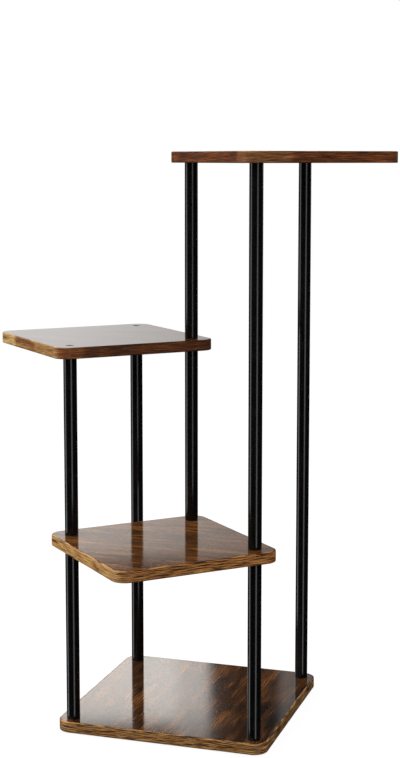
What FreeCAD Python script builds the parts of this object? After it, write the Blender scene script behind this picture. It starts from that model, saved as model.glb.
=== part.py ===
import FreeCAD
import Part
import os

import Sketcher

# Plant rack: a square base board, three smaller square shelves turned by 45 degrees that climb round the
# middle of the rack, and round steel tubes screwed between the boards. Millimetres, +Z up, the front faces
# -Y, and the origin is on the floor under the middle of the rack's bounding box.

# Driving dimensions: alias, value, meaning. Every other size and place is worked out from these cells.
SIZES = (
    ("post_square_width", 270.0, "side of the square on whose corners the axes of the outer posts stand"),
    ("storey_clear", 254.0, "clear height between two boards, which is the length of a short tube"),
    ("board_thickness", 16.0, "every board"),
    ("base_margin", 20.0, "post axis to the two nearest edges of the base board"),
    ("shelf_margin", 26.5, "post axis to the two nearest edges of a shelf"),
    ("corner_radius", 20.0, "corners of every board, seen from above"),
    ("band_thickness", 2.0, "edge strip round every board"),
    ("edge_round", 1.5, "rounding of the strip's upper and lower edge"),
    ("tube_diameter", 19.0, "outside of every tube"),
    ("tube_wall", 1.2, "wall of every tube"),
    ("insert_length", 12.0, "threaded insert pressed into each tube end"),
    ("insert_chamfer", 0.8, "lead-in round the insert's inner end"),
    ("thread_diameter", 6.0, "studs, bolts and the threads of the inserts"),
    ("thread_chamfer", 0.7, "ends of the studs and bolts"),
    ("thread_engagement", 9.0, "how far a stud or bolt reaches into an insert"),
    ("hole_diameter", 7.0, "holes through the boards"),
    ("head_diameter", 12.0, "countersunk heads of the bolts"),
    ("head_angle", 90.0, "degrees, the whole cone of a bolt head and of its seat in the board"),
    ("socket_flats", 4.0, "hexagon socket of a bolt, across its flats"),
    ("socket_depth", 2.4, "hexagon socket of a bolt"),
    ("pad_diameter", 22.0, "foot pads"),
    ("pad_thickness", 2.0, "foot pads"),
    ("pad_margin", 48.0, "middle of a foot pad to the two nearest edges of the base board"),
)

SHELF_TURN = 45.0    # degrees, so that two posts stand at opposite corners of a shelf
QUARTER_TURN = 90.0  # degrees
HALF_TURN = 180.0    # degrees, for what points down
FULL_TURN = 360.0    # degrees

# Where the posts stand, in half widths of their square to the right of the middle and behind it
POSTS = {
    "front_left": (-1, -1),
    "front_right": (1, -1),
    "back_right": (1, 1),
    "back_left": (-1, 1),
    "centre": (0, 0),
}
CORNER_POSTS = ("front_left", "front_right", "back_right", "back_left")

# The corners of a shelf in its own frame, where the free corner is the one at (-1, -1)
LEFT_CORNER = (-1, 1)
RIGHT_CORNER = (1, -1)
INNER_CORNER = (1, 1)


# Formulas over the cells of the sheet

def level_top(level):
    """Height of a board's top face. Level 0 is the base board and level 3 the top shelf."""
    boards = level + 1
    return f"(sizes.pad_thickness + {boards} * sizes.board_thickness + {level} * sizes.storey_clear)"


def level_underside(level):
    return f"({level_top(level)} - sizes.board_thickness)"


def half_widths(share):
    return f"({share} * sizes.post_square_width / 2)"


BASE_SIDE = "(sizes.post_square_width + 2 * sizes.base_margin)"
SHELF_SIDE = "(sizes.post_square_width / sqrt(2) + 2 * sizes.shelf_margin)"
SHELF_HOLE = "(sizes.post_square_width / sqrt(8))"
BOTH_BANDS = "2 * sizes.band_thickness"
BAND_CORNER = "(sizes.corner_radius - sizes.band_thickness)"
TUBE_BORE = "(sizes.tube_diameter - 2 * sizes.tube_wall)"
HEAD_OVERHANG = "((sizes.head_diameter - sizes.thread_diameter) / 2)"
HEAD_HEIGHT = f"({HEAD_OVERHANG} / tan(sizes.head_angle / 2 * 1 deg))"
BOLT_LENGTH = "(sizes.board_thickness + sizes.thread_engagement)"
JOINING_STUD_LENGTH = "(2 * sizes.thread_engagement)"
SHELF_STUD_LENGTH = f"(sizes.board_thickness + {JOINING_STUD_LENGTH})"
PAD_OFFSET = f"({BASE_SIDE} / 2 - sizes.pad_margin)"

# The reach of a shelf's rounded corner from its middle gives the depth of the rack, and so its middle
CORNER_REACH = f"({SHELF_SIDE} / sqrt(2) - (sqrt(2) - 1) * sizes.corner_radius)"
FRONT_REACH = f"({half_widths(1)} + {CORNER_REACH})"
BACK_REACH = f"max({BASE_SIDE} / 2; {CORNER_REACH})"
MIDDLE_Y = f"(({FRONT_REACH} - {BACK_REACH}) / 2)"

# Tubes: node, post, foot and head. The tallest post is two tubes, joined level with the upper shelf's
# underside, so that no tube is longer than the other long ones.
TUBES = (
    ("front_left_post_lower", "front_left", level_top(0), level_underside(1)),
    ("front_left_post_upper", "front_left", level_top(1), level_underside(2)),
    ("front_right_post_lower", "front_right", level_top(0), level_underside(1)),
    ("front_right_post_upper", "front_right", level_top(1), level_underside(3)),
    ("back_right_post_lower", "back_right", level_top(0), level_underside(2)),
    ("back_right_post_upper", "back_right", level_underside(2), level_underside(3)),
    ("back_left_post", "back_left", level_top(0), level_underside(2)),
    ("centre_post_lower", "centre", level_top(1), level_underside(2)),
    ("centre_post_upper", "centre", level_top(2), level_underside(3)),
)

# Studs: node, post, where the lower tube ends, and length
STUDS = (
    ("front_left_stud", "front_left", level_underside(1), SHELF_STUD_LENGTH),
    ("front_right_stud", "front_right", level_underside(1), SHELF_STUD_LENGTH),
    ("centre_stud", "centre", level_underside(2), SHELF_STUD_LENGTH),
    ("back_right_joining_stud", "back_right", level_underside(2), JOINING_STUD_LENGTH),
)

# Bolts: node, posts, height of the heads, and whether they point down
BOLTS = (
    ("base_bolts", CORNER_POSTS, level_underside(0), False),
    ("lower_shelf_bolt", ("centre",), level_underside(1), False),
    ("upper_shelf_bolts", ("front_left", "back_left"), level_top(2), True),
    ("top_shelf_bolts", ("front_right", "back_right", "centre"), level_top(3), True),
)

# Shelves: name, level, middle in half widths, quarter turns, and the corners of each style of hole
SHELVES = (
    ("lower_shelf", 1, (0, -1), 0, {"plain": (LEFT_CORNER, RIGHT_CORNER), "sunk_below": (INNER_CORNER,)}),
    ("upper_shelf", 2, (-1, 0), -1, {"sunk_above": (LEFT_CORNER, RIGHT_CORNER), "plain": (INNER_CORNER,)}),
    ("top_shelf", 3, (1, 0), 1, {"sunk_above": (LEFT_CORNER, RIGHT_CORNER, INNER_CORNER)}),
)
BASE_HOLES = {"sunk_below": ((-1, -1), (1, -1), (1, 1), (-1, 1))}


# Document and bodies

def make_document():
    """The document, with its sheet of driving dimensions."""
    document = FreeCAD.newDocument("plant_rack")
    sheet = document.addObject("Spreadsheet::Sheet", "sizes")
    for row, (alias, value, meaning) in enumerate(SIZES, 1):
        sheet.set(f"A{row}", alias)
        sheet.set(f"B{row}", str(value))
        sheet.set(f"C{row}", meaning)
        sheet.setAlias(f"B{row}", alias)
    document.recompute()
    return document


def new_body(document, name):
    body = document.addObject("PartDesign::Body", name)
    body.Label = name
    return body


def place(body, x, y, z, axis=(0, 0, 1), turn=0.0):
    """Turn the body and bind its place to formulas, measured from the middle of the base board."""
    body.Placement.Rotation = FreeCAD.Rotation(FreeCAD.Vector(*axis), turn)
    body.setExpression(".Placement.Base.x", x)
    body.setExpression(".Placement.Base.y", f"{MIDDLE_Y} + {y}")
    body.setExpression(".Placement.Base.z", z)


def place_on_post(body, post, height, points_down=False):
    across, along = POSTS[post]
    turn = HALF_TURN if points_down else 0.0
    place(body, half_widths(across), half_widths(along), height, (1, 0, 0), turn)


# Sketches

def new_sketch(body, name, role="XY_Plane", height=None):
    """An empty sketch on an origin plane of the body, raised above it by a formula."""
    plane = next(item for item in body.Origin.OriginFeatures if item.Role == role)
    sketch = body.newObject("Sketcher::SketchObject", name)
    sketch.AttachmentSupport = (plane, [""])
    sketch.MapMode = "FlatFace"
    if height:
        sketch.setExpression(".AttachmentOffset.Base.z", height)
    sketch.Visibility = False
    return sketch


def drive(sketch, constraint, name, formula):
    """Add a dimension to the sketch and bind it to a formula."""
    index = sketch.addConstraint(constraint)
    sketch.renameConstraint(index, name)
    sketch.setExpression(f"Constraints.{name}", formula)


def drive_point(sketch, name, geometry, point, x, y):
    """Bind a point to formulas. The formula 0 keeps it on the axis."""
    for axis_name, axis, formula in (("X", -2, x), ("Y", -1, y)):
        if formula == "0":
            sketch.addConstraint(Sketcher.Constraint("PointOnObject", geometry, point, axis))
        else:
            distance = Sketcher.Constraint(f"Distance{axis_name}", -1, 1, geometry, point, 1.0)
            drive(sketch, distance, f"{name}_{axis_name}", formula)


def draw_circle(sketch, name, diameter, x="0", y="0"):
    unit_circle = Part.Circle(FreeCAD.Vector(0, 0, 0), FreeCAD.Vector(0, 0, 1), 1.0)
    geometry = sketch.addGeometry(unit_circle, False)
    drive(sketch, Sketcher.Constraint("Diameter", geometry, 1.0), f"{name}_diameter", diameter)
    drive_point(sketch, name, geometry, 3, x, y)


def draw_outline(sketch, points):
    """A closed outline of straight lines through points, which are pairs of formulas."""
    count = len(points)
    # A unit zigzag, which the dimensions then pull into place
    starts = [FreeCAD.Vector(index % 2, index, 0) for index in range(count)]
    for index in range(count):
        sketch.addGeometry(Part.LineSegment(starts[index], starts[(index + 1) % count]), False)
    for index in range(count):
        sketch.addConstraint(Sketcher.Constraint("Coincident", index, 2, (index + 1) % count, 1))
    for index, (x, y) in enumerate(points):
        drive_point(sketch, f"corner_{index}", index, 1, x, y)


def draw_square(sketch, side):
    low = f"-({side}) / 2"
    high = f"({side}) / 2"
    draw_outline(sketch, [(low, low), (high, low), (high, high), (low, high)])


def draw_hexagon(sketch, across_flats):
    side = f"{across_flats} / 2"
    shoulder = f"{across_flats} / sqrt(12)"
    tip = f"{across_flats} / sqrt(3)"
    right = [(side, f"-{shoulder}"), (side, shoulder), ("0", tip)]
    left = [(f"-{side}", shoulder), (f"-{side}", f"-{shoulder}"), ("0", f"-{tip}")]
    draw_outline(sketch, right + left)


# Features

def add_pad(body, sketch, length):
    pad = body.newObject("PartDesign::Pad", "Pad")
    pad.Profile = sketch
    pad.setExpression("Length", length)
    return pad


def add_pocket(body, sketch, depth):
    """Cut upwards from a sketch on the underside."""
    pocket = body.newObject("PartDesign::Pocket", "Pocket")
    pocket.Profile = sketch
    pocket.Reversed = True
    pocket.setExpression("Length", depth)
    return pocket


def add_fillet(body, base, edges, radius):
    fillet = body.newObject("PartDesign::Fillet", "Fillet")
    fillet.Base = (base, edges)
    fillet.setExpression("Radius", radius)
    return fillet


def edges_by_height(shape, tall):
    """Names of the edges as tall as the shape or, where tall is false, of those that lie flat."""
    middle = shape.BoundBox.ZLength / 2
    full_height = shape.BoundBox.ZLength - Part.Precision.approximation()
    names = []
    for index, edge in enumerate(shape.Edges, 1):
        height = edge.BoundBox.ZLength
        if (height > full_height) if tall else (height < middle):
            names.append(f"Edge{index}")
    return names


def turned_body(document, name, profile):
    """A body of revolution about +Z through points of radius and height, which are formulas."""
    body = new_body(document, name)
    sketch = new_sketch(body, "Profile", "XZ_Plane")
    draw_outline(sketch, profile)
    revolution = body.newObject("PartDesign::Revolution", "Revolution")
    revolution.Profile = sketch
    revolution.ReferenceAxis = (sketch, ["V_Axis"])
    revolution.Angle = FULL_TURN
    return body


# Boards and their edge strips

def rounded_plate(document, name, side, radius):
    """A square plate with rounded corners, its underside on the body's own XY plane."""
    body = new_body(document, name)
    sketch = new_sketch(body, "Outline")
    draw_square(sketch, side)
    pad = add_pad(body, sketch, "sizes.board_thickness")
    document.recompute()
    corners = add_fillet(body, pad, edges_by_height(pad.Shape, tall=True), radius)
    document.recompute()
    return body, corners


def add_holes(document, body, style, corners, offset):
    """Holes at corners of a square, plain or countersunk for bolt heads below or above the board."""
    above = style == "sunk_above"
    sketch = new_sketch(body, f"Holes_{style}", height="sizes.board_thickness" if above else None)
    for index, (across, along) in enumerate(corners):
        middle = (f"{across} * {offset}", f"{along} * {offset}")
        draw_circle(sketch, f"hole_{index}", "sizes.hole_diameter", *middle)
    document.recompute()
    hole = body.newObject("PartDesign::Hole", f"Hole_{style}")
    hole.Profile = sketch
    document.recompute()
    hole.ThreadType = "None"
    hole.DepthType = "ThroughAll"
    hole.Reversed = not above
    hole.setExpression("Diameter", "sizes.hole_diameter")
    if style != "plain":
        hole.HoleCutType = "Countersink"
        hole.HoleCutCustomValues = True
        hole.setExpression("HoleCutCountersinkAngle", "sizes.head_angle")
        hole.setExpression("HoleCutDiameter", "sizes.head_diameter")
    document.recompute()


def make_board(document, name, side, holes, offset):
    """The board inside its edge strip."""
    body, _ = rounded_plate(document, name, f"{side} - {BOTH_BANDS}", BAND_CORNER)
    for style, corners in holes.items():
        add_holes(document, body, style, corners, offset)
    return body


def make_edge_band(document, name, side):
    """The strip glued round a board, with its upper and lower outer edges rounded."""
    outside, corners = rounded_plate(document, f"{name}_outside", side, "sizes.corner_radius")
    add_fillet(outside, corners, edges_by_height(corners.Shape, tall=False), "sizes.edge_round")
    inside, _ = rounded_plate(document, f"{name}_inside", f"{side} - {BOTH_BANDS}", BAND_CORNER)
    band = document.addObject("Part::Cut", name)
    band.Label = name
    band.Base = outside
    band.Tool = inside
    return band


def make_boards(document):
    """The base board and the three shelves, each with its strip."""
    base = (
        make_board(document, "base_board", BASE_SIDE, BASE_HOLES, half_widths(1)),
        make_edge_band(document, "base_edge_band", BASE_SIDE),
    )
    for body in base:
        place(body, "0", "0", level_underside(0))
    nodes = list(base)
    for name, level, (across, along), turns, holes in SHELVES:
        shelf = (
            make_board(document, f"{name}_board", SHELF_SIDE, holes, SHELF_HOLE),
            make_edge_band(document, f"{name}_edge_band", SHELF_SIDE),
        )
        turn = SHELF_TURN + turns * QUARTER_TURN
        for body in shelf:
            place(body, half_widths(across), half_widths(along), level_underside(level), turn=turn)
        nodes += shelf
    return nodes


# Posts

def make_tube(document, name, post, foot, head):
    body = new_body(document, name)
    sketch = new_sketch(body, "Section")
    draw_circle(sketch, "outside", "sizes.tube_diameter")
    draw_circle(sketch, "bore", TUBE_BORE)
    add_pad(body, sketch, f"{head} - {foot}")
    place_on_post(body, post, foot)
    return body


def make_insert(document, name, post, height, points_down):
    """A threaded insert that starts flush with a tube's end and reaches into the tube."""
    thread = "sizes.thread_diameter / 2"
    outside = f"{TUBE_BORE} / 2"
    shoulder = "sizes.insert_length - sizes.insert_chamfer"
    profile = [
        (thread, "0"),
        (outside, "0"),
        (outside, shoulder),
        (f"{outside} - sizes.insert_chamfer", "sizes.insert_length"),
        (thread, "sizes.insert_length"),
    ]
    body = turned_body(document, name, profile)
    place_on_post(body, post, height, points_down)
    return body


def make_stud(document, name, post, joint, length):
    """A stud that reaches down into the tube that ends at the joint, and up into the next one."""
    radius = "sizes.thread_diameter / 2"
    end = f"{radius} - sizes.thread_chamfer"
    profile = [
        ("0", "0"),
        (end, "0"),
        (radius, "sizes.thread_chamfer"),
        (radius, f"{length} - sizes.thread_chamfer"),
        (end, length),
        ("0", length),
    ]
    body = turned_body(document, name, profile)
    place_on_post(body, post, f"{joint} - sizes.thread_engagement")
    return body


def make_bolt(document, name, post, height, points_down):
    """A countersunk bolt with a hexagon socket, flush with the face of the board."""
    radius = "sizes.thread_diameter / 2"
    profile = [
        ("0", "0"),
        ("sizes.head_diameter / 2", "0"),
        (radius, HEAD_HEIGHT),
        (radius, f"{BOLT_LENGTH} - sizes.thread_chamfer"),
        (f"{radius} - sizes.thread_chamfer", BOLT_LENGTH),
        ("0", BOLT_LENGTH),
    ]
    body = turned_body(document, name, profile)
    sketch = new_sketch(body, "Socket")
    draw_hexagon(sketch, "sizes.socket_flats")
    add_pocket(body, sketch, "sizes.socket_depth")
    place_on_post(body, post, height, points_down)
    return body


def make_group(document, name, pieces):
    """Identical pieces as one node of separate solids."""
    group = document.addObject("Part::Compound", name)
    group.Label = name
    group.Links = pieces
    return group


def make_insert_groups(document):
    """Two inserts for every tube, one node for each post."""
    inserts = {post: [] for post in POSTS}
    for tube, post, foot, head in TUBES:
        inserts[post].append(make_insert(document, f"{tube}_foot_insert", post, foot, False))
        inserts[post].append(make_insert(document, f"{tube}_head_insert", post, head, True))
    return [make_group(document, f"{post}_post_inserts", pieces) for post, pieces in inserts.items()]


def make_bolt_groups(document):
    groups = []
    for node, posts, height, points_down in BOLTS:
        pieces = [make_bolt(document, f"{node}_{post}", post, height, points_down) for post in posts]
        groups.append(make_group(document, node, pieces))
    return groups


# Foot pads

def make_pad(document, post):
    across, along = POSTS[post]
    body = new_body(document, f"{post}_foot_pad")
    sketch = new_sketch(body, "Section")
    draw_circle(sketch, "outside", "sizes.pad_diameter")
    add_pad(body, sketch, "sizes.pad_thickness")
    place(body, f"{across} * {PAD_OFFSET}", f"{along} * {PAD_OFFSET}", "0")
    return body


# Checks and files

def check(document, nodes):
    """Stop if a feature failed, a cut removed nothing or a shape isn't a valid solid."""
    for item in document.Objects:
        if "Invalid" in item.State or "Error" in item.State:
            raise RuntimeError(f"{item.Label} failed: {item.State}")
        if item.TypeId in ("PartDesign::Pocket", "PartDesign::Hole"):
            if item.Shape.Volume >= item.BaseFeature.Shape.Volume:
                raise RuntimeError(f"{item.Label} cuts nothing")
    for node in nodes:
        if node.Shape.isNull() or not node.Shape.isValid() or not node.Shape.Solids:
            raise RuntimeError(f"{node.Label} has no valid shape")


def main():
    document = make_document()
    nodes = make_boards(document)
    nodes += [make_tube(document, *tube) for tube in TUBES]
    nodes += make_insert_groups(document)
    nodes += [make_stud(document, *stud) for stud in STUDS]
    nodes += make_bolt_groups(document)
    nodes += [make_pad(document, post) for post in CORNER_POSTS]
    document.recompute()
    check(document, nodes)

    os.makedirs("parts", exist_ok=True)
    for node in nodes:
        node.Shape.exportStep(f"parts/{node.Label}.step")
    rack = Part.makeCompound([node.Shape for node in nodes])
    print(f"{len(nodes)} nodes, {len(rack.Solids)} solids, {rack.optimalBoundingBox()}")


main()
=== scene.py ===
import math

import bmesh
import bpy
from mathutils import Matrix, Vector


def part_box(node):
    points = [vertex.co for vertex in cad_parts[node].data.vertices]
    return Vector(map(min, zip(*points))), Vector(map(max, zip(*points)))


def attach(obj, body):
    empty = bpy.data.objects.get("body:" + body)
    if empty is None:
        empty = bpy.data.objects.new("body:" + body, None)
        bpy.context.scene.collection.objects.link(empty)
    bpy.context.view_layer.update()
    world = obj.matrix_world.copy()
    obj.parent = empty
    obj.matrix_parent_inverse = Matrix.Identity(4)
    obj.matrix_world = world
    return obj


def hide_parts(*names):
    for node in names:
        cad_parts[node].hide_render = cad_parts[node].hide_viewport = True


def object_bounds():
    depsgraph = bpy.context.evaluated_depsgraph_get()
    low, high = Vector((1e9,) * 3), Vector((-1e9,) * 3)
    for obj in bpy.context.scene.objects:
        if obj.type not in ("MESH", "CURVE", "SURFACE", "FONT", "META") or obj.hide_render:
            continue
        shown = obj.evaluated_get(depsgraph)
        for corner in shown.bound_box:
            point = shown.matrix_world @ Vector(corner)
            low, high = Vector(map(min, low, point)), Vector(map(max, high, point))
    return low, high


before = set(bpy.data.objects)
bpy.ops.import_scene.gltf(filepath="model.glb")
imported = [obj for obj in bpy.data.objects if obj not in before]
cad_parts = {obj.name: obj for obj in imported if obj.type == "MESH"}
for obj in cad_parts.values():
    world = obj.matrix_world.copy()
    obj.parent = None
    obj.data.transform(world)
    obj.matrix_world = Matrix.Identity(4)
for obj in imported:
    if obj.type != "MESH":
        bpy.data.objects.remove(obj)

cad_box = [list(corner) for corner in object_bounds()]


# Boards
# Four chipboard panels under a printed wood foil with a clear gloss finish: the base, square to the posts,
# and three shelves turned by 45 degrees. The holes for bolts and studs show the raw chips.

CORNER_RADIUS = 0.020
SQUARE = math.radians(90)
DIAGONAL = math.radians(45)
ALONG_X = 0.0
ALONG_Y = math.radians(90)
MILLIMETRES = 1000.0    # in a metre

# How far each board is turned
TURNS = {
    "base": SQUARE,
    "lower_shelf": DIAGONAL,
    "upper_shelf": DIAGONAL,
    "top_shelf": DIAGONAL,
}


def measured(board):
    """The middle, underside, side and thickness of a board with its strip, from the solids."""
    turn = TURNS[board]
    low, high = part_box(f"{board}_edge_band")
    straight = (high.x - low.x - 2 * CORNER_RADIUS) / (math.cos(turn) + math.sin(turn))
    return (low + high).xy / 2, low.z, straight + 2 * CORNER_RADIUS, high.z - low.z


class Wire:
    """A number on its way through the nodes of a finish. Arithmetic on it adds Math nodes."""

    def __init__(self, finish, socket):
        self.finish = finish
        self.socket = socket

    def step(self, operation, *others):
        """What a Math node makes of this number and the others."""
        numbers = dict(enumerate((self, *others)))
        made = self.finish.node("ShaderNodeMath", {"operation": operation}, numbers)
        return Wire(self.finish, made.outputs[0])

    def __add__(self, other):
        return self.step("ADD", other)

    def __sub__(self, other):
        return self.step("SUBTRACT", other)

    def __rsub__(self, other):
        return self * -1 + other

    def __mul__(self, other):
        return self.step("MULTIPLY", other)

    def __truediv__(self, other):
        return self.step("DIVIDE", other)

    __radd__ = __add__
    __rmul__ = __mul__

    def fade(self, start, end):
        """Runs smoothly from 0 at start to 1 at end."""
        numbers = {"Value": self, "From Min": start, "From Max": end}
        made = self.finish.node("ShaderNodeMapRange", {"interpolation_type": "SMOOTHSTEP"}, numbers)
        return Wire(self.finish, made.outputs[0])


class Finish:
    """The nodes of one material, or of the world."""

    def __init__(self, owner):
        owner.use_nodes = True
        self.owner = owner
        self.tree = owner.node_tree
        self.tree.nodes.clear()

    def node(self, kind, settings=None, sockets=None):
        """A node of any kind: its settings are made first, then its sockets get values or links."""
        made = self.tree.nodes.new(kind)
        for name, value in (settings or {}).items():
            if name == "stops":
                stops = made.color_ramp.elements
                for place, (position, colour) in enumerate(value):
                    stop = stops[place] if place < len(stops) else stops.new(position)
                    stop.position = position
                    stop.color = colour
            else:
                setattr(made, name, value)
        for name, value in (sockets or {}).items():
            if isinstance(value, Wire):
                value = value.socket
            if isinstance(value, bpy.types.NodeSocket):
                self.tree.links.new(value, made.inputs[name])
            else:
                made.inputs[name].default_value = value
        return made

    def place(self, middle=(0, 0, 0), turn=0.0):
        """Where a point is: in millimetres from the middle of a piece, with x turned to the grain."""
        source = self.node("ShaderNodeTexCoord").outputs["Object"]
        start = Matrix.Rotation(-turn, 3, "Z") @ Vector(middle) * -MILLIMETRES
        return self.node("ShaderNodeMapping", None, {
            "Vector": source, "Location": start, "Rotation": (0, 0, -turn), "Scale": [MILLIMETRES] * 3,
        }).outputs[0]

    def parts(self, vector):
        """The x, y and z of a vector."""
        made = self.node("ShaderNodeSeparateXYZ", None, {0: vector})
        return [Wire(self, made.outputs[side]) for side in range(3)]

    def cloud(self, x, y, z, long, wide, detail=2.0, seed=0.0):
        """Noise, in patches about so long and so wide."""
        where = self.node("ShaderNodeCombineXYZ", None, {0: x / long, 1: y / wide, 2: z / wide + seed})
        sockets = {"Vector": where.outputs[0], "Scale": 1.0, "Detail": detail}
        return Wire(self, self.node("ShaderNodeTexNoise", None, sockets).outputs[0])

    def ramp(self, tone, stops):
        """The colour that stands at a tone."""
        return self.node("ShaderNodeValToRGB", {"stops": stops}, {0: tone}).outputs[0]

    def blend(self, share, first, second, way="MIX"):
        """The first colour, with a share of the second."""
        settings = {"data_type": "RGBA", "blend_type": way}
        return self.node("ShaderNodeMix", settings, {0: share, 6: first, 7: second}).outputs[2]

    def relief(self, height, depth):
        """Bumps so deep, in millimetres."""
        sockets = {"Height": height, "Distance": depth / MILLIMETRES, "Strength": 1.0}
        return self.node("ShaderNodeBump", None, sockets).outputs[0]

    def paint(self, sockets):
        """The finished material, from its colour, roughness and relief."""
        shader = self.node("ShaderNodeBsdfPrincipled", None, sockets)
        self.node("ShaderNodeOutputMaterial", None, {"Surface": shader.outputs[0]})
        return self.owner


def tint(red, green, blue):
    """A colour for a socket, from its values on a screen, by the sRGB curve."""
    shares = [part / 255 for part in (red, green, blue)]
    return [part / 12.92 if part < 0.04045 else ((part + 0.055) / 1.055) ** 2.4 for part in shares] + [1.0]


# Printed wood, from the darkest pore to the palest streak
FOIL = [
    (0.00, tint(22, 14, 9)),
    (0.20, tint(42, 27, 17)),
    (0.40, tint(66, 41, 23)),
    (0.55, tint(88, 54, 27)),
    (0.70, tint(108, 67, 33)),
    (0.85, tint(130, 82, 40)),
    (1.00, tint(154, 104, 56)),
]
SOOT = tint(30, 22, 17)
SOOT_SHADE = 0.45
KNOT = tint(44, 18, 10)
CHIPS = [(0.0, tint(122, 92, 60)), (0.5, tint(168, 134, 92)), (1.0, tint(206, 176, 132))]
SPOT_STRETCH = 2.4    # how much longer than wide a knot or a patch is
KNOT_BEND = (2.4, 0.5)    # where the grain starts to bend round a knot and is fully bent, in half widths
KNOT_HEART = (0.75, 0.2)    # where a knot starts to darken and is darkest, in half widths
KNOT_SHADE = 0.8
PATCH_EDGE = (1.3, 0.4)    # where a patch starts and is full, in half widths
WANDER = 12.0    # how far the grain strays, in millimetres
ROW_SPACING = 4.3    # between the fine lines that stand in rows across the grain, in millimetres
ROW_BEND = 8.0    # how far these lines stray, in millimetres
FOIL_DEPTH = 0.006    # of the embossed grain, in millimetres
FACE_LEVEL = (0.85, 0.95)    # the upward share of a normal, from a hole's wall to a face
CHIPS_TO_MILLIMETRE = 0.7
CHIP_DEPTH = 14.0    # of the raw chips, in depths of the foil
CHIP_ROUGHNESS = 0.85


def spot(x, y, spot_x, spot_y, size):
    """How far a point is from the middle of a spot that is long with the grain: 1 at its edge."""
    aside_x = (x - spot_x) / (size * SPOT_STRETCH)
    aside_y = (y - spot_y) / size
    return (aside_x * aside_x + aside_y * aside_y).step("SQRT")


def bent_grain(finish, x, y, z, seed, knots):
    """How far across the grain a point is, as it strays and bends round the knots, and the knots' hearts."""
    stray = finish.cloud(x, y, z, long=120, wide=50, detail=1.0, seed=seed) - 0.5
    y_drift = y + stray * WANDER
    hearts = 0.0
    for knot_x, knot_y, size in knots:
        away = spot(x, y, knot_x, knot_y, size)
        near = away.fade(*KNOT_BEND)
        y_drift = y_drift * (1 - near) + (away * size + knot_y) * near
        hearts = away.fade(*KNOT_HEART) + hearts
    return y_drift, hearts


def raw_chips(finish, where):
    """The chips, and where foil covers them: 1 on the faces of a board, 0 on the walls of its holes."""
    normal = finish.node("ShaderNodeNewGeometry").outputs["True Normal"]
    flat = finish.parts(normal)[2].step("ABSOLUTE").fade(*FACE_LEVEL)
    cells = finish.node("ShaderNodeTexVoronoi", None, {"Vector": where, "Scale": CHIPS_TO_MILLIMETRE})
    return finish.parts(cells.outputs["Color"])[0], flat


def foil_board(name, middle, seed, grain, depth, knots, patches):
    """Gloss wood print on both faces of a board, and raw chipboard in its holes."""
    finish = Finish(bpy.data.materials.new(name))
    where = finish.place((*middle, 0), grain)
    x, y, z = finish.parts(where)
    y_drift, hearts = bent_grain(finish, x, y, z, seed, knots)

    # Layers of the print: how long and wide their marks are, in millimetres, how many finer octaves they
    # have, and between which heights of the noise they set in
    broad = finish.cloud(x, y_drift, z, long=150, wide=12, seed=seed + 1)
    streaks = finish.cloud(x, y_drift, z, long=60, wide=1.5, detail=4.0, seed=seed + 2)
    fibres = finish.cloud(x, y_drift, z, long=9, wide=0.45, seed=seed + 3)
    bands = finish.cloud(x, y, z, long=420, wide=15, detail=1.0, seed=seed + 4).fade(0.52, 0.55)
    embers = finish.cloud(x, y_drift, z, long=85, wide=20, seed=seed + 5).fade(0.42, 0.62)
    soot = finish.cloud(x, y_drift, z, long=90, wide=12, detail=3.0, seed=seed + 6).fade(0.54, 0.68)
    bend = finish.cloud(x, y, z, long=90, wide=40, detail=1.0, seed=seed + 7) * ROW_BEND
    islands = finish.cloud(x, y, z, long=50, wide=36, detail=1.0, seed=seed + 8).fade(0.42, 0.56)
    breaks = finish.cloud(x, y, z, long=45, wide=3, seed=seed + 9).fade(0.34, 0.56)
    pores = finish.cloud(x, y_drift, z, long=7, wide=0.5, detail=1.0, seed=seed + 10).fade(0.57, 0.68)
    rows = ((y + bend) * (2 * math.pi / ROW_SPACING)).step("SINE").fade(-0.4, 0.9) * breaks

    # From dark to pale, with each layer's share
    tone = broad * 0.7 + streaks * 0.8 + fibres * 0.4 + bands * 0.08 - 0.64 + depth
    tone = tone + embers * (streaks * 0.2 + rows * 0.08 + 0.12) + rows * islands * 0.12
    tone = tone - pores * 0.12 - soot * 0.12
    for patch_x, patch_y, size, paler in patches:
        tone = tone + spot(x, y, patch_x, patch_y, size).fade(*PATCH_EDGE) * paler
    colour = finish.blend(soot * SOOT_SHADE, finish.ramp(tone, FOIL), SOOT)
    colour = finish.blend(hearts * KNOT_SHADE, colour, KNOT)
    raised = streaks * 0.4 + fibres * 0.3 - pores * 0.5
    dull = streaks * 0.05 + pores * 0.08 + 0.025

    # The walls of the holes show the chips
    chip, flat = raw_chips(finish, where)
    return finish.paint({
        "Base Color": finish.blend(flat, finish.ramp(chip, CHIPS), colour),
        "Roughness": dull * flat + (1 - flat) * CHIP_ROUGHNESS,
        "Normal": finish.relief(raised * flat + chip * (1 - flat) * CHIP_DEPTH, FOIL_DEPTH),
    })


# The print of each board: which way its grain runs; how pale it is; its knots, each by how far along and
# across the grain it is and its half width, in millimetres; and its golden and darker patches, likewise,
# with how much paler each is. The base's darkest patch is a stain in the print with painted shadow over it.
PRINTS = {
    # The base's first patch, 0.26 darker, is a stain in the print with painted shadow over it
    "base": (ALONG_Y, 0.0, [(-128, -22, 7), (62, 88, 9)], [(-42, -134, 30, -0.26), (-80, -72, 18, 0.24)]),
    "lower_shelf": (ALONG_X, 0.20, [(-30, 62, 8)], [(-120, -38, 16, 0.18), (8, -140, 24, -0.06)]),
    "upper_shelf": (ALONG_X, 0.10, [(48, -40, 7)], []),
    "top_shelf": (ALONG_X, 0.06, [(-52, 30, 8)], []),
}
PRINT_STEP = 37.0    # from one board's stretch of noise to the next one's
for number, board in enumerate(TURNS):
    middle = measured(board)[0]
    foil = foil_board(f"{board}_foil", middle, number * PRINT_STEP, *PRINTS[board])
    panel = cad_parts[f"{board}_board"].data.materials
    panel.clear()
    panel.append(foil)


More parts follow.
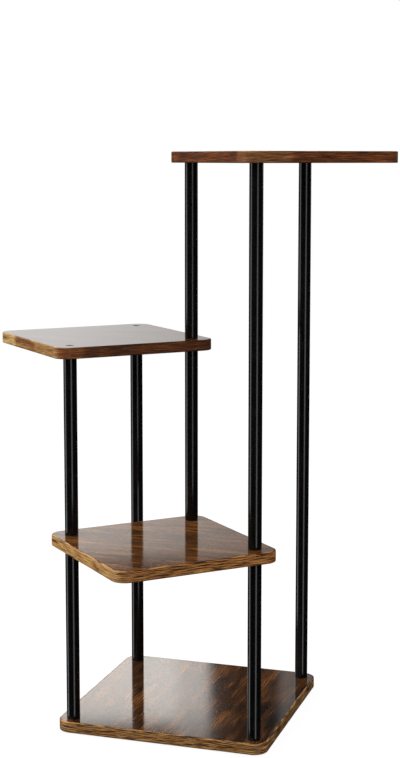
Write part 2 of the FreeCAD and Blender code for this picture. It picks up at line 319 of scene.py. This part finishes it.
# Edge strips
# A plastic strip with its own wood print, glued round each board to hide the raw chips, its two ends butted
# at the back. Its long edges are rounded, and a hairline shows where it meets the foil.

STRIP_THICKNESS = 0.002
STRIP_ROUND = 0.0015
STRIP_GAP = 0.00012    # between strip and foil
BEND_STEPS = 16
ROUND_STEPS = 5
SIDES = 4
QUARTER = math.radians(90)
UPRIGHT = 0.1    # the most that an upright face's normal points up or down
HAIR = 0.001    # of a quarter turn, so that rounding puts no face of a side into the corner before it
SHARP = math.radians(50)    # the least angle between two faces that shows as an edge


def add_piece(name, shape, material, replaced):
    """A new piece from its mesh, in the place of the solid that it stands for."""
    mesh = bpy.data.meshes.new(name)
    shape.to_mesh(mesh)
    shape.free()
    mesh.shade_smooth()
    mesh.set_sharp_from_angle(angle=SHARP)
    mesh.materials.append(material)
    piece = bpy.data.objects.new(name, mesh)
    bpy.context.scene.collection.objects.link(piece)
    even = piece.modifiers.new("even_shading", "WEIGHTED_NORMAL")
    even.keep_sharp = True
    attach(piece, "root")
    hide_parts(replaced)


def strip_shape(side, thickness):
    """A strip round a board that lies at the origin, with its long outer edges rounded."""
    shape = bmesh.new()
    bmesh.ops.create_grid(shape, x_segments=1, y_segments=1, size=side / 2)
    bmesh.ops.bevel(
        shape, geom=shape.verts[:], offset=CORNER_RADIUS, offset_type="OFFSET",
        affect="VERTICES", segments=BEND_STEPS, profile=0.5, material=-1)
    board_face = shape.faces[:]
    bmesh.ops.inset_region(
        shape, faces=board_face, thickness=STRIP_THICKNESS - STRIP_GAP, use_boundary=True,
        use_even_offset=True)
    bmesh.ops.delete(shape, geom=board_face, context="FACES")
    raised = bmesh.ops.extrude_face_region(shape, geom=shape.faces[:])["geom"]
    top = [item for item in raised if isinstance(item, bmesh.types.BMVert)]
    bmesh.ops.translate(shape, verts=top, vec=(0, 0, thickness))
    bmesh.ops.recalc_face_normals(shape, faces=shape.faces[:])
    rims = []
    for edge in shape.edges:
        upright = [face for face in edge.link_faces if abs(face.normal.z) < UPRIGHT]
        if len(upright) == 1 and upright[0].normal.dot(upright[0].calc_center_median()) > 0:
            rims.append(edge)
    bmesh.ops.bevel(
        shape, geom=rims, offset=STRIP_ROUND, offset_type="OFFSET",
        affect="EDGES", segments=ROUND_STEPS, profile=0.5, material=-1)
    return shape


def lay_along(shape, side):
    """Notes in a UV map how far along the strip each point is, from its end in the middle of a side."""
    flat = side / 2 - CORNER_RADIUS
    quarter_length = 2 * flat + CORNER_RADIUS * QUARTER
    bmesh.ops.bisect_plane(
        shape, geom=shape.verts[:] + shape.edges[:] + shape.faces[:],
        plane_co=(0, 0, 0), plane_no=(0, 1, 0))
    along = shape.loops.layers.uv.new("along_strip")
    for face in shape.faces:
        centre = face.calc_center_median()
        out_x = centre.x - max(-flat, min(flat, centre.x))
        out_y = centre.y - max(-flat, min(flat, centre.y))
        quarters = int((math.atan2(out_y, out_x) / QUARTER + HAIR) % SIDES)
        last = quarters == 0 and centre.y < 0
        back = Matrix.Rotation(-quarters * QUARTER, 2)
        for loop in face.loops:
            x, y = back @ loop.vert.co.xy
            bend = math.atan2(y - flat, x - flat) if y > flat else 0.0
            straight = (SIDES if last else quarters) * quarter_length + max(-flat, min(flat, y))
            loop[along].uv = (straight + bend * CORNER_RADIUS, loop.vert.co.z)
    return SIDES * quarter_length


def bend_strip(middle, underside, side, thickness, turn):
    """A strip in its place round a board, and its length."""
    shape = strip_shape(side, thickness)
    length = lay_along(shape, side)
    bmesh.ops.rotate(shape, verts=shape.verts, cent=(0, 0, 0), matrix=Matrix.Rotation(turn, 3, "Z"))
    bmesh.ops.translate(shape, verts=shape.verts, vec=(*middle, underside))
    return shape, length


# The strip's print, from its darkest streak to its palest
STRIP = [
    (0.00, tint(34, 19, 11)),
    (0.20, tint(62, 38, 21)),
    (0.40, tint(96, 63, 35)),
    (0.58, tint(128, 88, 50)),
    (0.76, tint(162, 121, 70)),
    (1.00, tint(206, 174, 112)),
]
REDDENED = (1.0, 0.58, 0.28, 1.0)
STRIP_WANDER = 4.0    # how far its grain strays, in millimetres
STRIP_DEPTH = 0.03    # of its embossed grain, in millimetres
# Painted shade along each strip's lower edge, put into the print's colour
PAINTED_SHADE_RIM = (1.6, 0.4)    # where its lower edge starts to darken and is darkest, in millimetres
PAINTED_RIM_SHADE = 0.4
STRIP_END = 0.15    # half the hairline where its ends meet, in millimetres
END_SHADE = 0.8
RUN_FADE = 7.0    # how softly one run of the print turns into the next, in millimetres


def strip_print_and_painted_light(name, length, seed, lively, depth, red, runs):
    """Wood print along a strip, with painted shade at its lower edge and runs of another tone, partly painted
    light: from, to, how much paler and how much redder.
    """
    finish = Finish(bpy.data.materials.new(name))
    source = finish.node("ShaderNodeUVMap", {"uv_map": "along_strip"}).outputs[0]
    scaled = finish.node("ShaderNodeVectorMath", {"operation": "SCALE"}, {0: source, 3: MILLIMETRES})
    x, y, z = finish.parts(scaled.outputs[0])
    stray = finish.cloud(x, y, z, long=60, wide=22, detail=1.0, seed=seed) - 0.5
    y_drift = y + stray * STRIP_WANDER
    streaks = finish.cloud(x, y_drift, z, long=30, wide=0.85, detail=4.0, seed=seed + 1)
    broad = finish.cloud(x, y_drift, z, long=90, wide=7, seed=seed + 2)
    fibres = finish.cloud(x, y_drift, z, long=6, wide=0.5, seed=seed + 3)
    lines = finish.cloud(x, y_drift, z, long=60, wide=1.1, detail=1.0, seed=seed + 4).fade(0.60, 0.70)
    tone = broad * 0.7 + streaks * lively + fibres * 0.2 * lively - lines * 0.25 + depth
    # Runs: partly print, partly painted light; paler stretches paint sheen and light, darker ones paint shade
    for start, end, paler, redder in runs:
        run = x.fade(start - RUN_FADE, start + RUN_FADE) * x.fade(end + RUN_FADE, end - RUN_FADE)
        tone = tone + run * paler
        red = run * redder + red
    # Painted shade: the lowest 1.6 mm of every strip is darkened, as shade darkens its rounded lower edge
    tone = tone - y.fade(*PAINTED_SHADE_RIM) * PAINTED_RIM_SHADE
    joint = x.step("ABSOLUTE").fade(STRIP_END, 0)
    joint = joint + (x - length * MILLIMETRES).step("ABSOLUTE").fade(STRIP_END, 0)
    colour = finish.ramp(tone - joint * END_SHADE, STRIP)
    return finish.paint({
        "Base Color": finish.blend(red, colour, REDDENED, "MULTIPLY"),
        "Roughness": streaks * 0.2 + lines * 0.15 + 0.38,
        "Normal": finish.relief(streaks * 0.5 + fibres * 0.4 - lines * 0.6, STRIP_DEPTH),
    })


# Each strip: how lively its print is, how pale, how red, and its runs of another tone, each from and to
# how many millimetres along the strip, how much paler and how much redder. The runs are partly print and
# partly painted light: their paler stretches are painted sheen and light on a side of the strip, and the top
# strip's darker stretch is painted shade.
STRIP_TONES = {
    "base": (6.4, -3.62, 0.48, []),
    "lower_shelf": (6.4, -3.57, 0.8, [(310, 590, 0.32, -0.40)]),
    "upper_shelf": (1.9, -1.15, 0.9, [
        (330, 420, 0.50, -0.9), (420, 500, 0.26, -0.6), (500, 580, 0.40, -0.8), (582, 620, 0.20, 0)]),
    "top_shelf": (1.7, -0.93, 1.0, [(310, 560, -0.10, 0), (560, 650, 0.16, -0.45)]),
}
STRIP_STEP = 19.0    # from one strip's stretch of noise to the next one's
for number, (board, turn) in enumerate(TURNS.items()):
    shape, length = bend_strip(*measured(board), turn)
    material = strip_print_and_painted_light(f"{board}_strip_print_and_painted_light", length, number * STRIP_STEP, *STRIP_TONES[board])
    add_piece(f"{board}_edge_strip", shape, material, f"{board}_edge_band")


# Tubes
# Welded steel tube, cut square, its ends deburred, and coated with gloss black. Each stands between two
# boards, except for the tall one at the back right, which is two tubes screwed end to end.

TUBE_RADIUS = 0.0095
TUBE_WALL = 0.0012
TUBE_EDGE = 0.0003
TUBE_STEPS = 96
PEEL_DEPTH = 0.006    # of the coating's orange peel, in millimetres
WELD = 1e-6    # how near two points are that count as one

# Where each post stands, from the middle of the rack
RACK_MIDDLE = measured("base")[0]
POST_REACH = (RACK_MIDDLE - measured("lower_shelf")[0]).y
POSTS = {
    "front_left": RACK_MIDDLE + POST_REACH * Vector((-1, -1)),
    "front_right": RACK_MIDDLE + POST_REACH * Vector((1, -1)),
    "back_right": RACK_MIDDLE + POST_REACH * Vector((1, 1)),
    "back_left": RACK_MIDDLE + POST_REACH * Vector((-1, 1)),
    "centre": RACK_MIDDLE,
}


def gloss_black():
    """Thick black coating over steel, with a trace of orange peel and of dust."""
    finish = Finish(bpy.data.materials.new("gloss_black_coating"))
    x, y, z = finish.parts(finish.place())
    peel = finish.cloud(x, y, z, long=2.6, wide=2.6, detail=1.0, seed=3.0)
    drawn = finish.cloud(z, x, y, long=60, wide=0.6, seed=5.0)
    dust = finish.cloud(x, y, z, long=14, wide=14, detail=4.0, seed=7.0)
    return finish.paint({
        "Base Color": finish.blend(dust.fade(0.45, 0.8), tint(9, 9, 10), tint(17, 17, 19)),
        "Roughness": dust * 0.10 + drawn * 0.05 + 0.10,
        "Normal": finish.relief(peel + drawn * 0.3, PEEL_DEPTH),
    })


def tube_shape(foot, head):
    """A tube round the z axis, from its foot up to its head, with both ends deburred."""
    profile = [
        (TUBE_RADIUS - TUBE_WALL, foot),
        (TUBE_RADIUS - TUBE_EDGE, foot),
        (TUBE_RADIUS, foot + TUBE_EDGE),
        (TUBE_RADIUS, head - TUBE_EDGE),
        (TUBE_RADIUS - TUBE_EDGE, head),
        (TUBE_RADIUS - TUBE_WALL, head),
    ]
    shape = bmesh.new()
    corners = [shape.verts.new((radius, 0, height)) for radius, height in profile]
    wall = [shape.edges.new(pair) for pair in zip(corners, corners[1:] + corners[:1])]
    bmesh.ops.spin(
        shape, geom=corners + wall, cent=(0, 0, 0), axis=(0, 0, 1), angle=2 * math.pi,
        steps=TUBE_STEPS, use_merge=True)
    bmesh.ops.remove_doubles(shape, verts=shape.verts[:], dist=WELD)
    bmesh.ops.recalc_face_normals(shape, faces=shape.faces[:])
    return shape


coating = gloss_black()
for post, middle in POSTS.items():
    for tube in (f"{post}_post", f"{post}_post_lower", f"{post}_post_upper"):
        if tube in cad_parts:
            foot, head = (corner.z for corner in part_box(tube))
            shape = tube_shape(foot, head)
            bmesh.ops.translate(shape, verts=shape.verts[:], vec=(*middle, 0))
            add_piece(f"{tube}_tube", shape, coating, tube)


# Inserts and studs
# Threaded steel inserts pressed into the tube ends, and the studs that screw one tube to the next through a
# shelf. All are zinc plated, and none of them shows once the rack stands.

RINGS = 12.0    # how much finer the marks of the lathe are along a part than across it
TURNED_DEPTH = 0.02    # of these marks, in millimetres


def zinc():
    """Bright plating, cloudy, over rings that the lathe left."""
    finish = Finish(bpy.data.materials.new("zinc_plating"))
    x, y, z = finish.parts(finish.place())
    cloudy = finish.cloud(x, y, z, long=3, wide=3, detail=3.0, seed=2.0)
    turned = finish.cloud(x, y, z * RINGS, long=6, wide=6, detail=1.0, seed=4.0)
    return finish.paint({
        "Base Color": finish.blend(cloudy, tint(150, 152, 156), tint(196, 194, 184)),
        "Metallic": 1.0,
        "Roughness": cloudy * 0.2 + turned * 0.1 + 0.2,
        "Normal": finish.relief(turned, TURNED_DEPTH),
    })


plating = zinc()
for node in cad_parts:
    if node.endswith("_inserts") or node.endswith("_stud"):
        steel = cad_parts[node].data.materials
        steel.clear()
        steel.append(plating)


# Bolts
# Countersunk steel bolts, blackened, with a hexagon socket. They lie flush: four under the base, one under
# the lower shelf, and five in the tops of the upper and the top shelf.

HEAD_RADIUS = 0.006
RIM = 0.00014
THREAD_RADIUS = 0.003
THREAD_ROOT = 0.00258
THREAD_PITCH = 0.001
SOCKET_FLATS = 0.004
SOCKET_DEPTH = 0.0024
GRIT_DEPTH = 0.01    # of the blackened surface, in millimetres
BOLT_STEPS = 48
SIXTH = math.radians(60)
UP = 1
DOWN = -1

# At which posts the bolts stand, and which way they point
BOLTS = {
    "base_bolts": (["front_left", "front_right", "back_right", "back_left"], UP),
    "lower_shelf_bolt": (["centre"], UP),
    "upper_shelf_bolts": (["front_left", "back_left"], DOWN),
    "top_shelf_bolts": (["front_right", "back_right", "centre"], DOWN),
}


def bolt_rings(length):
    """From the floor of the socket to the end of the thread: depth, radius, and if it is hexagonal."""
    rings = [
        (SOCKET_DEPTH, SOCKET_FLATS / 2, True),
        (RIM, SOCKET_FLATS / 2, True),
        (0.0, SOCKET_FLATS / 2 + RIM, True),
        (0.0, HEAD_RADIUS - 2 * RIM, False),
        (RIM, HEAD_RADIUS - RIM, False),
        (HEAD_RADIUS - THREAD_RADIUS, THREAD_RADIUS, False),
    ]
    depth = HEAD_RADIUS - THREAD_RADIUS + THREAD_PITCH
    while depth < length - THREAD_PITCH:
        rings.append((depth, THREAD_ROOT, False))
        rings.append((depth + THREAD_PITCH / 2, THREAD_RADIUS, False))
        depth += THREAD_PITCH
    rings.append((length, THREAD_ROOT - RIM, False))
    return rings


def add_bolt(shape, middle, height, length, way):
    """Draws a circle through the rings of a bolt, and stands it at its post with its head at a height."""
    first = bmesh.ops.create_circle(shape, cap_ends=True, segments=BOLT_STEPS, radius=THREAD_RADIUS)["verts"]
    ends = list(first)
    edges = list({edge for vert in first for edge in vert.link_edges})
    made = list(first)
    for place, (depth, radius, hexagonal) in enumerate(bolt_rings(length)):
        if place:
            grown = bmesh.ops.extrude_edge_only(shape, edges=edges)["geom"]
            ends = [item for item in grown if isinstance(item, bmesh.types.BMVert)]
            edges = [item for item in grown if isinstance(item, bmesh.types.BMEdge)
                     and all(vert in ends for vert in item.verts)]
            made += ends
        for vert in ends:
            angle = math.atan2(vert.co.y, vert.co.x)
            reach = radius / math.cos((angle + SIXTH / 2) % SIXTH - SIXTH / 2) if hexagonal else radius
            vert.co = (reach * math.cos(angle), reach * math.sin(angle), depth)
    bmesh.ops.contextual_create(shape, geom=edges)
    for vert in made:
        vert.co = (middle.x + vert.co.x, middle.y + vert.co.y * way, height + vert.co.z * way)


def blackened():
    """Steel with a black finish that is worn a little."""
    finish = Finish(bpy.data.materials.new("blackened_steel"))
    x, y, z = finish.parts(finish.place())
    worn = finish.cloud(x, y, z, long=1.6, wide=1.6, detail=4.0, seed=1.0)
    grit = finish.cloud(x, y, z, long=0.35, wide=0.35, detail=1.0, seed=6.0)
    return finish.paint({
        "Base Color": finish.blend(worn.fade(0.5, 0.75), tint(20, 20, 21), tint(44, 43, 43)),
        "Metallic": 0.7,
        "Roughness": worn * 0.25 + 0.28,
        "Normal": finish.relief(grit, GRIT_DEPTH),
    })


black_steel = blackened()
for bolts, (posts, way) in BOLTS.items():
    low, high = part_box(bolts)
    shape = bmesh.new()
    for post in posts:
        add_bolt(shape, POSTS[post], low.z if way == UP else high.z, high.z - low.z, way)
    bmesh.ops.recalc_face_normals(shape, faces=shape.faces[:])
    add_piece(f"{bolts}_countersunk", shape, black_steel, bolts)


# Foot pads
# Round pads of black rubber, punched from a sheet and glued under the base board, so that the bolts stay
# clear of the floor.

PAD_RADIUS = 0.011
PAD_ROUND = 0.0005
PAD_STEPS = 64
PAD_ROUND_STEPS = 3
RUBBER_DEPTH = 0.06    # of its grain, in millimetres


def pad_rubber():
    """Dull black rubber with a fine grain."""
    finish = Finish(bpy.data.materials.new("pad_rubber"))
    x, y, z = finish.parts(finish.place())
    mottle = finish.cloud(x, y, z, long=5, wide=5, detail=3.0, seed=1.0)
    grit = finish.cloud(x, y, z, long=0.3, wide=0.3, seed=3.0)
    return finish.paint({
        "Base Color": finish.blend(mottle, tint(24, 24, 24), tint(40, 39, 38)),
        "Roughness": mottle * 0.15 + 0.75,
        "Normal": finish.relief(grit, RUBBER_DEPTH),
    })


rubber = pad_rubber()
for post in ("front_left", "front_right", "back_right", "back_left"):
    low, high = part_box(f"{post}_foot_pad")
    shape = bmesh.new()
    bmesh.ops.create_cone(
        shape, cap_ends=True, segments=PAD_STEPS, radius1=PAD_RADIUS, radius2=PAD_RADIUS,
        depth=high.z - low.z)
    rims = [edge for edge in shape.edges if edge.verts[0].co.z * edge.verts[1].co.z > 0]
    bmesh.ops.bevel(
        shape, geom=rims, offset=PAD_ROUND, offset_type="OFFSET",
        affect="EDGES", segments=PAD_ROUND_STEPS, profile=0.5, material=-1)
    bmesh.ops.translate(shape, verts=shape.verts[:], vec=(low + high) / 2)
    add_piece(f"{post}_rubber_pad", shape, rubber, f"{post}_foot_pad")


# Floor and surroundings
# A plain white floor in a white room, whose walls, windows and lamps show only in the gloss. The floor takes
# hardly any shadow, and the gloss looks through it.

FLOOR_SIDE = 80.0
FLOOR_GREY = (0.2, 0.2, 0.2, 1.0)    # under its glow, so that little light comes up from it
FLOOR_GLOW = 0.9
WHITE = (1.0, 1.0, 1.0, 1.0)
WARM = (1.0, 0.95, 0.90, 1.0)
WARM_FROM = (8, 13)    # degrees above level
ROOM_LIGHT = 0.5
VIEW_TURN = math.radians(17.7308)

# Bright parts of the room, which the gloss mirrors: in degrees above level, and in degrees to the right of
# straight behind the rack, where each starts, is full, stops being full and ends; and how bright it is
BRIGHT_PARTS = {
    "wall": ((-2, 1, 14.6, 15.0), (-45, -20, 45, 78), 0.50),
    "wall_left": ((-2, 1, 14.6, 15.0), (-45, -20, -7, 4), 0.50),
    "wall_right": ((-2, 1, 14.6, 15.0), (12, 40, 45, 78), 0.26),
    "wall_top": ((8, 12, 14.6, 15.0), (-45, -20, -7, 4), 0.42),
    "window_left": ((17.2, 18.2, 20.65, 21.0), (-40, -25, -1.3, -0.5), 3.2),
    "window_right": ((17.2, 18.2, 19.9, 22.6), (-1.3, -0.5, 0.1, 0.65), 2.4),
    "window_side": ((17, 18, 20, 24), (2.9, 3.25, 20, 40), 0.5),
    "ceiling": ((14, 28, 50, 70), (-180, -170, -28, -14), 2.0),
    "left_lamp": ((-90, -80, 0, 5), (-103, -97, -81, -75), 2.2),
    "right_lamp": ((-90, -80, 0, 5), (144, 150, 162, 168), 2.0),
}
DIM_PARTS = 0.015

scene = bpy.context.scene
scene.view_settings.view_transform = "Standard"

shape = bmesh.new()
bmesh.ops.create_grid(shape, x_segments=1, y_segments=1, size=FLOOR_SIDE / 2)
mesh = bpy.data.meshes.new("floor")
shape.to_mesh(mesh)
shape.free()
floor = bpy.data.objects.new("floor", mesh)
scene.collection.objects.link(floor)
finish = Finish(bpy.data.materials.new("floor_white"))
rays = finish.node("ShaderNodeLightPath").outputs
matt = finish.node("ShaderNodeBsdfDiffuse", None, {"Color": FLOOR_GREY}).outputs[0]
glow = finish.node("ShaderNodeEmission", None, {"Color": WHITE, "Strength": FLOOR_GLOW}).outputs[0]
glowing = finish.node("ShaderNodeAddShader", None, {0: matt, 1: glow}).outputs[0]
straight = Wire(finish, rays["Is Camera Ray"]).step("MAXIMUM", rays["Is Transmission Ray"])
seen = finish.node("ShaderNodeMixShader", None, {0: straight, 1: matt, 2: glowing}).outputs[0]
clear = finish.node("ShaderNodeBsdfTransparent").outputs[0]
whole = finish.node("ShaderNodeMixShader", None, {0: rays["Is Glossy Ray"], 1: seen, 2: clear}).outputs[0]
finish.node("ShaderNodeOutputMaterial", None, {"Surface": whole})
floor.data.materials.append(finish.owner)

world = bpy.data.worlds.new("white_room")
scene.world = world
world.cycles.sampling_method = "NONE"
finish = Finish(world)
rays = finish.node("ShaderNodeLightPath").outputs
x, y, z = finish.parts(finish.node("ShaderNodeTexCoord").outputs["Generated"])
up = z.step("ARCSINE") * math.degrees(1)
behind = y * math.cos(VIEW_TURN) - x * math.sin(VIEW_TURN)
aside = x * math.cos(VIEW_TURN) + y * math.sin(VIEW_TURN)
across = aside.step("ARCTAN2", behind) * math.degrees(1)
room = DIM_PARTS
for height, side, level in BRIGHT_PARTS.values():
    glare = level
    for degrees, (start, full, last, end) in ((up, height), (across, side)):
        glare = degrees.fade(start, full) * degrees.fade(end, last) * glare
    room = glare + room
straight = Wire(finish, rays["Is Camera Ray"]).step("MAXIMUM", rays["Is Transmission Ray"])
glossy = Wire(finish, rays["Is Glossy Ray"])
strength = straight + glossy * room + (1 - straight) * (1 - glossy) * ROOM_LIGHT
colour = finish.blend(glossy * up.fade(*WARM_FROM), WHITE, WARM)
shader = finish.node("ShaderNodeBackground", None, {"Color": colour, "Strength": strength})
finish.node("ShaderNodeOutputWorld", None, {"Surface": shader.outputs[0]})


def lamp(name, azimuth, height, distance, size, level):
    """A soft panel of light, turned to the rack. Level 1 lights a white card that faces it to full white."""
    light = bpy.data.lights.new(name, "AREA")
    light.size = size
    light.energy = level * (math.pi * distance) ** 2
    piece = bpy.data.objects.new(name, light)
    scene.collection.objects.link(piece)
    turn, rise = math.radians(azimuth), math.radians(height)
    way = Vector((math.sin(turn) * math.cos(rise), -math.cos(turn) * math.cos(rise), math.sin(rise)))
    rack_middle = (Vector(cad_box[0]) + Vector(cad_box[1])) / 2
    piece.location = rack_middle + way * distance
    piece.rotation_euler = (-way).to_track_quat("-Z", "Y").to_euler()
    piece.visible_camera = False
    piece.visible_glossy = False


lamp("key_panel", azimuth=-70, height=32, distance=2.6, size=1.3, level=0.76)
lamp("fill_panel", azimuth=40, height=28, distance=2.6, size=1.2, level=0.25)


# Camera
# To the right of the rack's front, level with its top shelf, as in the photograph. It looks down a little,
# and the lens is shifted so that the rack stays in the middle of the picture.

LEVEL = math.radians(90)
VIEW_PITCH = math.radians(6.7579)
EYE = (0.68515, -2.03418, 0.81793)
SENSOR_HEIGHT = 36.0
LENS = 72.56
LENS_SHIFT = -0.0520
FARTHEST = 50.0

lens = bpy.data.cameras.new("camera")
lens.sensor_fit = "VERTICAL"
lens.sensor_height = SENSOR_HEIGHT
lens.lens = LENS
lens.shift_y = LENS_SHIFT
lens.clip_end = FARTHEST
camera = bpy.data.objects.new("camera", lens)
scene.collection.objects.link(camera)
camera.location = EYE
camera.rotation_euler = (LEVEL - VIEW_PITCH, 0, VIEW_TURN)
scene.camera = camera
